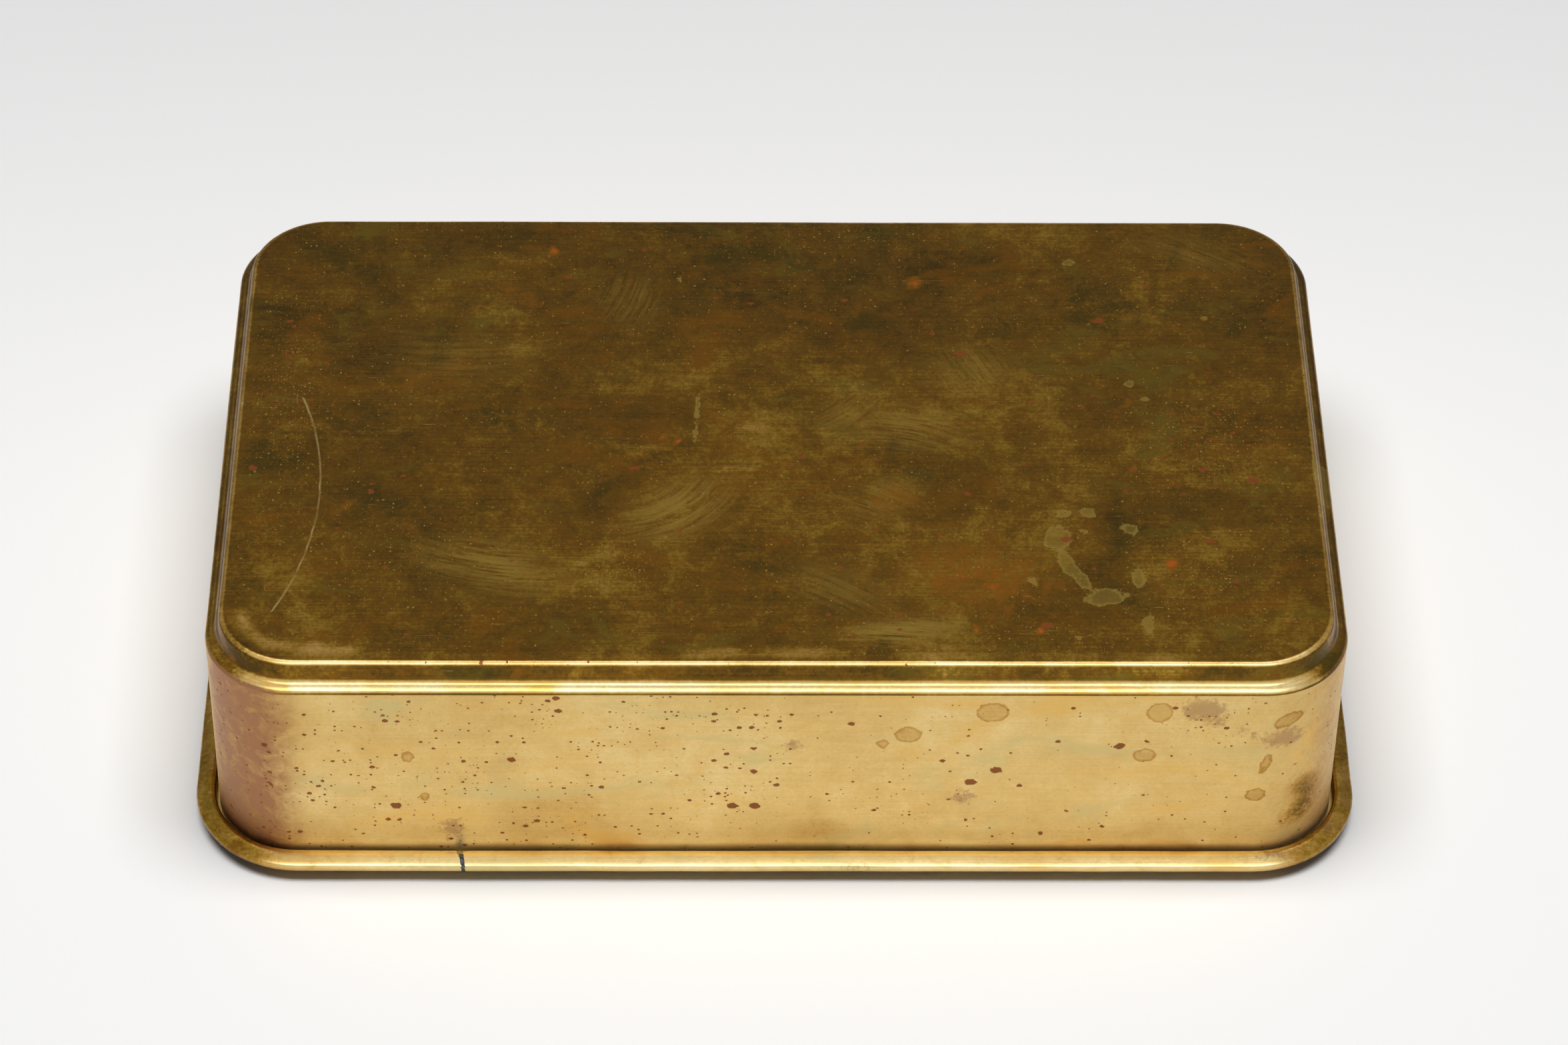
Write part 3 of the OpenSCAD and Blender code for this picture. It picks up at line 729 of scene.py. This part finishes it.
    # The walls: pale gold, spotted most on the front's left half, purple-brown in the front-left corner
    wall_like = wall | (place == "shoulder")
    up = z - SHELF_Z
    # Painted light: the wall's lowest 5.5 mm are bare brass, bright against the shaded floor strip that it
    # mirrors; above that it darkens slightly towards the bottom
    wall_tarnish_and_shade = 0.25 + 0.03 * smooth(14, 3, up) - 0.26 * smooth(5.5, 1.2, up)
    wall_tarnish_and_shade += 0.05 * smooth(58, 72, np.abs(x))
    for at, size, much in (((-29, 9), (13, 8), 0.14), ((6, 5), (6, 3.5), 0.14), ((-64, 26), (7, 8), 0.10)):
        wall_tarnish_and_shade += much * cloud(x, up, at, size) * front
    corner = smooth(-61, -71, x) * smooth(-35, -42, y)
    wall_tarnish_and_shade += (0.18 + 0.10 * smooth(16, 4, up)) * corner
    tarnish_and_shade = np.where(wall, wall_tarnish_and_shade, tarnish_and_shade)
    film = np.where(wall, 0.42, film)
    blush = np.where(wall_like, 0.78 * corner + 0.30 * smooth(-61, -66, x) * smooth(-35, -42, y)
                     + 0.30 * smooth(69, 73, x) * smooth(-30, -38, y), 0)
    for at, size, turn in (
        ((55.5, 28.5), (3.5, 2.2), -10), ((57.5, 26), (1.2, 1.0), 0), ((62, 24), (3.0, 0.8), -30),
        ((66.5, 23), (3.0, 2.0), 0),
        ((2.2, 21.6), (1.6, 1.3), 0), ((-43, 6), (1.6, 2.4), 0), ((24.5, 12.0), (1.6, 1.4), 0),
    ):
        dark = np.maximum(dark, np.where(wall & (front > 0.2), island(x, up, at, size, turn), -5))
    for at, size, turn in (
        ((-48.3, 19.6), (0.9, 1.1), 0), ((-47.3, 15.4), (0.5, 0.6), 0), ((-46.4, 11.9), (0.8, 0.8), 0),
        ((28, 28), (2.2, 1.8), 0), ((17.2, 23.8), (1.8, 1.5), 0), ((13.8, 22), (0.9, 0.9), 0),
        ((48.2, 20), (1.6, 1.3), 0), ((49.8, 28), (1.8, 1.8), 30), ((63.3, 12.4), (1.4, 1.3), 0),
        ((64.3, 18.5), (0.7, 2.2), -15), ((66.8, 26.2), (2.0, 1.2), 20),
    ):
        stain = np.maximum(stain, np.where(wall & (front > 0.2), island(x, up, at, size, turn), -5))
    for at, size, much in (((70.6, 11), (3.4, 6.0), 0.30), ((69.4, 7.4), (3.6, 2.6), 0.34)):
        tarnish_and_shade = np.where(wall, tarnish_and_shade + much * front * cloud(x, up, at, size, 15), tarnish_and_shade)
        film = np.where(wall, film + 1.6 * front * cloud(x, up, at, size, 15), film)
    speck_wall = 0.08 + 0.12 * smooth(10, -20, x) + 0.14 * cloud(x, up, (14, 10), (14, 7))
    for at, size, much in (((-49, 27), (7, 3.5), 0.9), ((-41, 16), (4, 6), 0.8), ((-31, 27), (6, 3.5), 0.9),
                           ((-12, 27), (7, 3.5), 0.9), ((-60, 13), (7, 7), 0.45), ((-6, 12), (8, 7), 0.5),
                           ((-2, 26), (6, 5), 0.6), ((24.5, 12), (3, 2), 0.9), ((-24, 22), (6, 5), 0.6),
                           ((-50, 10), (7, 6), 0.5), ((56, 25), (8, 6), 0.5)):
        speck_wall = np.maximum(speck_wall, much * cloud(x, up, at, size))
    speck = np.where(wall, speck_wall, speck)
    dust = np.where(on_top, 0.12, 0.0)
    for at, size, much in (((57, -2), (22, 18), 0.55), ((58, -28), (16, 14), 0.55), ((-21, -26), (6, 7), 1.6),
                           ((-67, 6), (11, 44), 0.6), ((20, -40), (40, 6), 0.5), ((10, 40), (60, 8), 0.3),
                           ((-50, -24), (20, 16), 0.4)):
        dust = np.maximum(dust, on_top * much * cloud(x, y, at, size))
    # The long scratch on the left is part of a circle
    on_arc = on_top & (y > -35) & (y < 7)
    scratch = np.where(on_arc, np.hypot(x + 115.6, y + 11.8) - 54.6, 5)
    dull = np.where(on_top, 0.30, 0.24)
    dull = np.where(wall, 0.46, dull)
    speck = np.where(place == "inside", 0.02, speck)

    for name, values in (("tarnish_and_shade", tarnish_and_shade), ("film", film), ("warm", warm), ("rub", rub), ("speck", speck),
                         ("pale", pale), ("dark", dark), ("stain", stain), ("dust", dust), ("dull", dull),
                         ("blush", np.clip(blush, 0, 0.95)), ("scratch", scratch)):
        paint(obj, name, values)
    paint_vectors(obj, "stroke", stroke)
    # Rolled out: the panel as it lies, the front and back by X and height, the ends by Y and height
    level = np.where(panel, y, z)
    run = np.where(panel | (np.abs(normals[:, 1]) > 0.7), x, y + 200)
    paint_vectors(obj, "skin", np.column_stack((run, level, 0 * z)))


def hand_worn(points, normals, angle, place):
    """Slight waves that any drawn sheet has: walls that bow, a panel that isn't quite flat."""
    moved = points.copy()
    for i, (p, n, a, name) in enumerate(zip(points, normals, angle, place)):
        if name == "inside":
            continue
        wave = noise.noise(Vector(p) / 38) * 0.10 + noise.noise(Vector(p) / 13 + Vector((9, 9, 9))) * 0.025
        wave -= 0.09
        lift = math.sin(a)
        moved[i] += Vector((n[0] * (1 - lift), n[1] * (1 - lift), lift)) * wave
    return moved


points, faces, normals, angle, place = build_cover()
cover = new_object("cover_shell", hand_worn(points, normals, angle, place), faces, "cover", "patina_brass")
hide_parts("cover")
paint_cover(cover, points, normals, angle, place)
weld(cover)
cover.data.materials.append(aged_brass("aged_brass"))


# ---- Base ----

lining_high = box_mm("base_lining")[1]
STAND_INSET = cover_high.x - lining_high.x - SHEET_T - 0.1
RIM_STEP = 1.2


def base_radius(inset):
    """Corners keep their centre out to the rim, and tighten to nothing towards the middle."""
    near = 8
    if inset <= near:
        return CORNER_R - inset
    return max(0.0, (CORNER_R - near) * (1 - (inset - near) / (CASE_W / 2 - near)))


# Points of the rolled rim, from its middle: outwards and up
ROLL_TOP = ((1.175, -0.25), (1.195, -0.05), (1.19, 0.12), (1.16, 0.25), (1.09, 0.37), (0.98, 0.46),
            (0.82, 0.55), (0.55, 0.68), (0.2, 0.84), (-0.1, 0.97), (-0.35, 1.07), (-0.58, 1.13),
            (-0.82, 1.15), (-1.04, 1.12), (-1.22, 1.03), (-1.36, 0.88), (-1.44, 0.68), (-1.48, 0.48),
            (-1.49, 0.30))
ROLL_LIP = ((-1.43, 0.24), (-1.34, 0.26), (-1.28, 0.46), (-1.16, 0.64), (-0.9, 0.74), (-0.62, 0.76),
            (-0.35, 0.76))


def base_section():
    """The sheet from the middle of its underside out round the wire and back, as (inset, height)."""
    middle = CASE_W / 2
    under = [(middle, 0), (30, 0), (16, 0), (STAND_INSET + 0.5, 0), (STAND_INSET + 0.1, 0.15),
             (STAND_INSET, SHELF_Z), (3, SHELF_Z), (0, SHELF_Z), (-1.2, SHELF_Z)]
    # The roll: round below, then a tight bend, a top that slopes outwards, and a lip close to the wall
    curl = [(BEAD_OUT + BEAD_R * math.cos(math.radians(a)), RIM_Z + BEAD_R * math.sin(math.radians(a)))
            for a in range(-90, -20, 8)]
    curl += [(BEAD_OUT + u, RIM_Z + v) for u, v in ROLL_TOP]
    wire_r = BEAD_R - SHEET_T
    inside = [(BEAD_OUT + u, RIM_Z + v) for u, v in ROLL_LIP]
    inside += [(BEAD_OUT + wire_r * math.cos(math.radians(a)), RIM_Z + wire_r * math.sin(math.radians(a)))
               for a in range(100, -91, -15)]
    curl = [(-u, v) for u, v in curl]
    inside = [(-u, v) for u, v in inside]
    top = SHELF_Z + SHEET_T
    over = [(-1.2, top), (0, top), (3, top), (STAND_INSET + SHEET_T - 0.1, top),
            (STAND_INSET + SHEET_T, SHEET_T + 0.1), (STAND_INSET + SHEET_T + 0.2, SHEET_T), (16, SHEET_T),
            (30, SHEET_T), (middle, SHEET_T)]
    return under, curl, inside, over


def build_base():
    """The base's shell, with its rolled rim cut through at the butt joint."""
    under, curl, inside, over = base_section()
    section = under + curl + inside + over
    rings, count = sweep(section, RIM_STEP, base_radius)
    grid = np.array(rings)
    # The two columns of points nearest the joint become its two sides
    on_front = (rounded_path(0, CORNER_R, RIM_STEP)[:, 3] < -0.99)
    gap = np.where(on_front & (grid[0, :, 1] <= 0))[0]
    xs = grid[len(under), gap, 0]
    left = gap[np.searchsorted(xs, JOINT_X) - 1]
    right = left + 1
    lean = math.tan(math.radians(JOINT_LEAN))
    rolled = range(len(under) + 5, len(under) + len(curl) + len(inside) - 5)
    for j in range(len(under) - 1, len(section) - len(over) + 1):
        out = -section[j][0]
        slant = lean * (out - BEAD_OUT) + 0.20 * noise.noise(Vector((0, out * 2.3, j * 0.37)))
        wedge = 0.45 * smooth(BEAD_OUT + 0.3, BEAD_OUT - 1.4, out)
        ragged = 0.14 * noise.noise(Vector((3, out * 3.1, j * 0.6)))
        grid[j, left, 0] = JOINT_X - JOINT_W / 2 + slant - wedge + ragged
        grid[j, right, 0] = JOINT_X + JOINT_W / 2 + slant
    faces = [f for f in ring_faces(0, len(section) - 1, count)
             if not (f[0] % count == left and f[0] // count in rolled and f[3] // count in rolled)]
    return grid, faces, count, section


def paint_base(obj, grid, section):
    x, y, z = grid.reshape(-1, 3).T
    out = np.repeat([-s[0] for s in section], grid.shape[1])
    rim = out > 0.3
    front = smooth(-44, -47, y) * smooth(72, 64, np.abs(x))
    back = smooth(44, 47, y) * smooth(72, 64, np.abs(x))
    # The rim is gold along the front and back and brown at its corners and ends; on the front its bend and
    # inner lip are painted bright as highlights, and its underside is painted darker as shade
    tarnish_and_shade = np.where(rim, 0.62 - 0.41 * front - 0.18 * back, 0.35)
    # Painted highlight along the roll's bend and on its inner lip, on the front
    bend = np.exp(-((out - BEAD_OUT - 1.0) / 0.16) ** 2) * (z > RIM_Z + 0.2)
    lip = smooth(BEAD_OUT - 0.7, BEAD_OUT - 1.1, out) * (z > RIM_Z)
    tarnish_and_shade = tarnish_and_shade - rim * front * (0.24 * bend + 0.16 * lip)
    # Painted shade: the rim below 2 mm is darkened, less on the front
    tarnish_and_shade = tarnish_and_shade + 0.16 * smooth(0.2, 1.2, out) * smooth(2.4, 2.0, z) * rim * (1 - 0.6 * front)
    tarnish_and_shade = tarnish_and_shade + 0.12 * cloud(x, out, (-64, 2), (9, 3)) * rim
    film = np.where(rim, 1.0 - 0.6 * front, 0.5)
    warm = np.where(rim, 0.15, 0.1)
    zero = np.zeros(len(x))
    dark = np.full(len(x), -5.0)
    for at, size in (((66, -47.1), (2.4, 0.8)), ((10.8, -49.2), (1.4, 0.35)), ((-76, -30), (0.8, 2.4)),
                     ((73.5, -42.1), (2.6, 1.0)), ((76.6, -36.6), (0.7, 2.0))):
        dark = np.maximum(dark, island(x, y, at, size))
    run = np.where(np.abs(y) > CASE_W / 2 - 6, x, y + 200)
    for name, values in (("tarnish_and_shade", tarnish_and_shade), ("film", film), ("warm", warm), ("rub", zero), ("dust", zero),
                         ("speck", np.where(rim, 0.06 - 0.06 * front, 0.03)), ("pale", zero - 5),
                         ("dark", dark), ("stain", zero - 5), ("dull", np.where(rim, 0.26, 0.32)),
                         ("blush", zero), ("scratch", zero + 5)):
        paint(obj, name, values)
    paint_vectors(obj, "stroke", np.column_stack((y, x, z)))
    paint_vectors(obj, "skin", np.column_stack((run, out + z, zero)))


def wavy(points, amount, size):
    """Dents and waves along a hand-rolled edge."""
    # Without a seed this noise takes one from the clock, and every run gives other waves
    noise.seed_set(1)
    moved = points.copy()
    for i, p in enumerate(points):
        moved[i] += Vector(noise.noise_vector(Vector(p) / size)) * amount
    return moved


grid, base_faces, base_count, section = build_base()
base_points = grid.reshape(-1, 3)
on_rim = np.repeat([-s[0] > 0.3 for s in section], base_count)
shaped = np.where(on_rim[:, None], wavy(base_points, 0.07, 9), base_points)
base = new_object("base_shell", shaped, base_faces, "base", "worn_brass")
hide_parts("base_pan")
paint_base(base, grid, section)
weld(base)
base.data.materials.append(cover.data.materials[0])


def build_solder():
    """Lumpy solder that fills the joint between the rolled ends."""
    lean = math.tan(math.radians(JOINT_LEAN))
    points, faces = [], []
    across, around = 7, 26
    for i in range(across):
        for j in range(around):
            a = math.radians(-35 + 200 * j / (around - 1))
            side = i / (across - 1) - 0.5
            r = BEAD_R - 0.07 - 0.25 * abs(side) ** 2
            p = Vector((JOINT_X + side * (JOINT_W + 0.06) + lean * r * math.cos(a),
                        -CASE_W / 2 - BEAD_OUT - r * math.cos(a), RIM_Z + r * math.sin(a)))
            lump = 0.07 * noise.noise(p / 0.35)
            p += lump * Vector((0, -math.cos(a), math.sin(a)))
            points.append(p)
    for i in range(across - 1):
        for j in range(around - 1):
            a = i * around + j
            faces.append((a, a + around, a + around + 1, a + 1))
    return points, faces


solder = new_object("joint_solder", *build_solder(), "base", "solder")
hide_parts("rim_solder")
solder.data.materials.append(solder_grey())


# ---- Felt linings ----

FELT_STEP = 1.5
# How far in from the edge the felt's rings of points lie
FELT_RINGS = (38, 30, 24, 19, 15, 12, 9, 7, 5, 4, 3, 2, 1.2, 0.6)


def felt_sheet(name, node, body, underside=False):
    """A felt lining inside its CAD solid: matted face, soft cut edge. underside faces it down."""
    low, high = box_mm(node)
    face_z, back_z = (low.z, high.z) if underside else (high.z, low.z)
    inset = cover_high.x - high.x
    thick = abs(face_z - back_z)
    down = 1 if face_z > back_z else -1
    middle = CASE_W / 2
    face = [(middle, face_z)] + [(inset + d, face_z) for d in FELT_RINGS]
    face += [(inset + 0.22, face_z - down * 0.06), (inset + 0.05, face_z - down * 0.25)]
    back = [(inset + 0.02, face_z - down * thick * 0.6), (inset + 0.05, back_z), (inset + 12, back_z),
            (middle, back_z)]
    face = [p for p in face if p[0] <= middle]
    section = face + back
    rings, count = sweep(section, FELT_STEP, base_radius)
    points = np.concatenate(rings)
    for i, p in enumerate(points):
        if abs(p[2] - back_z) > 0.05:
            v = Vector(p)
            p[2] += down * (0.07 * noise.noise(v / 4) + 0.04 * noise.noise(v / 1.1) - 0.11)
            p[:2] *= 1 + 0.0009 * noise.noise(v / 1.3)
    faces = ring_faces(0, len(section) - 1, count)
    if not underside:
        faces = [f[::-1] for f in faces]
    sheet = new_object(name, points, faces, body, "felt")
    weld(sheet)
    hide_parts(node)
    sheet.data.materials.append(felt_material)
    return sheet


felt_material = felt()
felt_sheet("base_felt", "base_lining", "base")
felt_sheet("tray_felt", "tray_lining", "tray")
felt_sheet("cover_felt", "cover_lining", "cover", underside=True)


# ---- Bent wire ----

def rounded(points, fillet, steps=6):
    """A broken line with its corners rounded."""
    smooth_line = [points[0]]
    for before, at, after in zip(points, points[1:], points[2:]):
        a, b = (before - at).normalized() * fillet, (after - at).normalized() * fillet
        for i in range(steps + 1):
            t = i / steps
            smooth_line.append(at + a * (1 - t) ** 2 + b * t ** 2)
    return smooth_line + [points[-1]]


def tube(name, line, radius, body, slot, sides=14):
    """A wire along a line, with domed ends."""
    points = []
    ahead = [(b - a).normalized() for a, b in zip(line, line[1:])]
    tangents = [ahead[0]] + [(a + b).normalized() for a, b in zip(ahead, ahead[1:])] + [ahead[-1]]
    rings = [(line[0] - tangents[0] * radius * 0.55, tangents[0], 0.5), (line[0], tangents[0], 0.95)]
    rings += [(p, t, 1.0) for p, t in zip(line[1:-1], tangents[1:-1])]
    rings += [(line[-1], tangents[-1], 0.95), (line[-1] + tangents[-1] * radius * 0.55, tangents[-1], 0.5)]
    for at, tangent, share in rings:
        side = tangent.cross(Vector((0, 0, 1))).normalized()
        lift = side.cross(tangent)
        for k in range(sides):
            a = 2 * math.pi * k / sides
            points.append(at + radius * share * (math.cos(a) * side + math.sin(a) * lift))
    faces = ring_faces(0, len(rings) - 1, sides)
    faces += [tuple(range(sides))[::-1], tuple((len(rings) - 1) * sides + k for k in range(sides))]
    return new_object(name, points, faces, body, slot)


STUB = 3


def bail(name, node, pivot_side):
    """A wire bail in its CAD node's box; pivot_side is the side of the box that its pivots are on."""
    low, high = box_mm(node)
    r = (high.z - low.z) / 2
    z = (high.z + low.z) / 2
    if pivot_side in ("-y", "+y"):
        pivot, cross = (low.y + r, high.y - r) if pivot_side == "-y" else (high.y - r, low.y + r)
        half = high.x - r - STUB
        corners = [(half + STUB, pivot), (half, pivot), (half, cross), (-half, cross), (-half, pivot),
                   (-half - STUB, pivot)]
    else:
        pivot, cross = (low.x + r, high.x - r) if pivot_side == "-x" else (high.x - r, low.x + r)
        half = high.y - r - STUB
        corners = [(pivot, half + STUB), (pivot, half), (cross, half), (cross, -half), (pivot, -half),
                   (pivot, -half - STUB)]
    wire = tube(name, rounded([Vector((x, y, z)) for x, y in corners], 2.2 * r), r, node, "wire_brass")
    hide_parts(node)
    wire.data.materials.append(wire_material)


wire_material = clean_brass("wire_brass", (0.82, 0.62, 0.30), (0.50, 0.32, 0.11), 0.26, scale=0.5)
bail("front_keeper_wire", "front_keeper", "-y")
bail("rear_keeper_wire", "rear_keeper", "+y")
bail("left_loop_wire", "left_loop", "-x")
bail("right_loop_wire", "right_loop", "+x")


# ---- CAD parts that keep their shape ----

satin = clean_brass("tray_brass", (0.86, 0.70, 0.38), (0.66, 0.47, 0.19), 0.27,
                    brush=(0.03, 1, 1), scale=0.4)
band = clean_brass("collar_brass", (0.80, 0.62, 0.31), (0.55, 0.36, 0.13), 0.30,
                   brush=(0.03, 0.03, 1), scale=0.4)
steel = needle_steel()
for material, names in (
    (satin, ("long_divider", "cross_dividers", "tray_pan", "front_comb_outer", "front_comb_inner",
             "rear_comb_inner", "rear_comb_outer", "keeper_lugs", "loop_lugs")),
    (band, ("inner_collar",)),
    (wire_material, ("rim_wire", "tray_rivets")),
    (steel, ("short_needles", "long_needles")),
):
    for name in names:
        nodes[name].data.materials.clear()
        nodes[name].data.materials.append(material)


# ---- Stage, lights and camera ----

def build_floor():
    """A flat sheet of paper that curves up far behind the case."""
    half, back, bend, rise = 1500, 900, 400, 700
    line = [(-1500 + 300 * i, 0) for i in range(8)]
    line += [(back + bend * math.sin(math.pi / 2 * i / 12), bend * (1 - math.cos(math.pi / 2 * i / 12)))
             for i in range(13)]
    line.append((back + bend, rise))
    points = [(x, y, z) for y, z in line for x in (-half, half)]
    faces = [(2 * i, 2 * i + 1, 2 * i + 3, 2 * i + 2) for i in range(len(line) - 1)]
    floor = new_object("floor", points, faces, None, None)
    floor.data.materials.append(paper())


build_floor()


def softbox(name, at, aim, width, depth, radiance, for_metal):
    """An area light that only the metal mirrors, or only everything else receives."""
    light = bpy.data.lights.new(name, "AREA")
    light.shape = "RECTANGLE"
    light.size, light.size_y = width, depth
    light.energy = radiance * math.pi * width * depth
    obj = bpy.data.objects.new(name, light)
    obj.location = at
    obj.rotation_euler = (Vector(aim) - Vector(at)).to_track_quat("-Z", "Y").to_euler()
    obj.visible_glossy = for_metal
    obj.visible_diffuse = not for_metal
    bpy.context.scene.collection.objects.link(obj)


# The paper is lit by a softbox just in front of the middle; the metal mirrors a deeper, dimmer one
softbox("lamp", (0, -0.045, 1.05), (0, -0.045, 0), 0.9, 0.45, 9.2, for_metal=False)
softbox("overhead", (0, -0.16, 1.05), (0, -0.16, 0), 0.9, 1.15, 2.0, for_metal=True)


def build_world():
    """A dim room to the paper. To the metal, a tent that is bright in front and dimmer behind."""
    world = bpy.data.worlds.new("tent")
    bpy.context.scene.world = world
    world.use_nodes = True
    tree = world.node_tree
    split = tree.nodes.new("ShaderNodeSeparateXYZ")
    tree.links.new(tree.nodes.new("ShaderNodeTexCoord").outputs["Generated"], split.inputs[0])
    fade = tree.nodes.new("ShaderNodeMapRange")
    tree.links.new(split.outputs[1], fade.inputs["Value"])
    for key, value in (("From Min", -1.0), ("From Max", 1.0), ("To Min", 0.85), ("To Max", 0.42)):
        fade.inputs[key].default_value = value
    choose = tree.nodes.new("ShaderNodeMix")
    tree.links.new(tree.nodes.new("ShaderNodeLightPath").outputs["Is Diffuse Ray"], choose.inputs["Factor"])
    tree.links.new(fade.outputs[0], choose.inputs["A"])
    choose.inputs["B"].default_value = 0.06
    tree.links.new(choose.outputs[0], tree.nodes["Background"].inputs["Strength"])
    tree.nodes["Background"].inputs["Color"].default_value = (1, 1, 1, 1)


build_world()

# The photo's view
camera = bpy.data.objects.new("camera", bpy.data.cameras.new("camera"))
bpy.context.scene.collection.objects.link(camera)
camera.data.lens = 119.74
camera.data.sensor_width = 36
camera.location = (-0.0066, -0.5175, 0.51667)
camera.rotation_mode = "QUATERNION"
camera.rotation_quaternion = (
    Matrix.Rotation(math.radians(-0.872), 3, "Z")
    @ Matrix.Rotation(math.radians(90 - 43.863), 3, "X")
    @ Matrix.Rotation(math.radians(0.699), 3, "Z")
).to_quaternion()
bpy.context.scene.camera = camera
bpy.context.scene.view_settings.view_transform = "Standard"
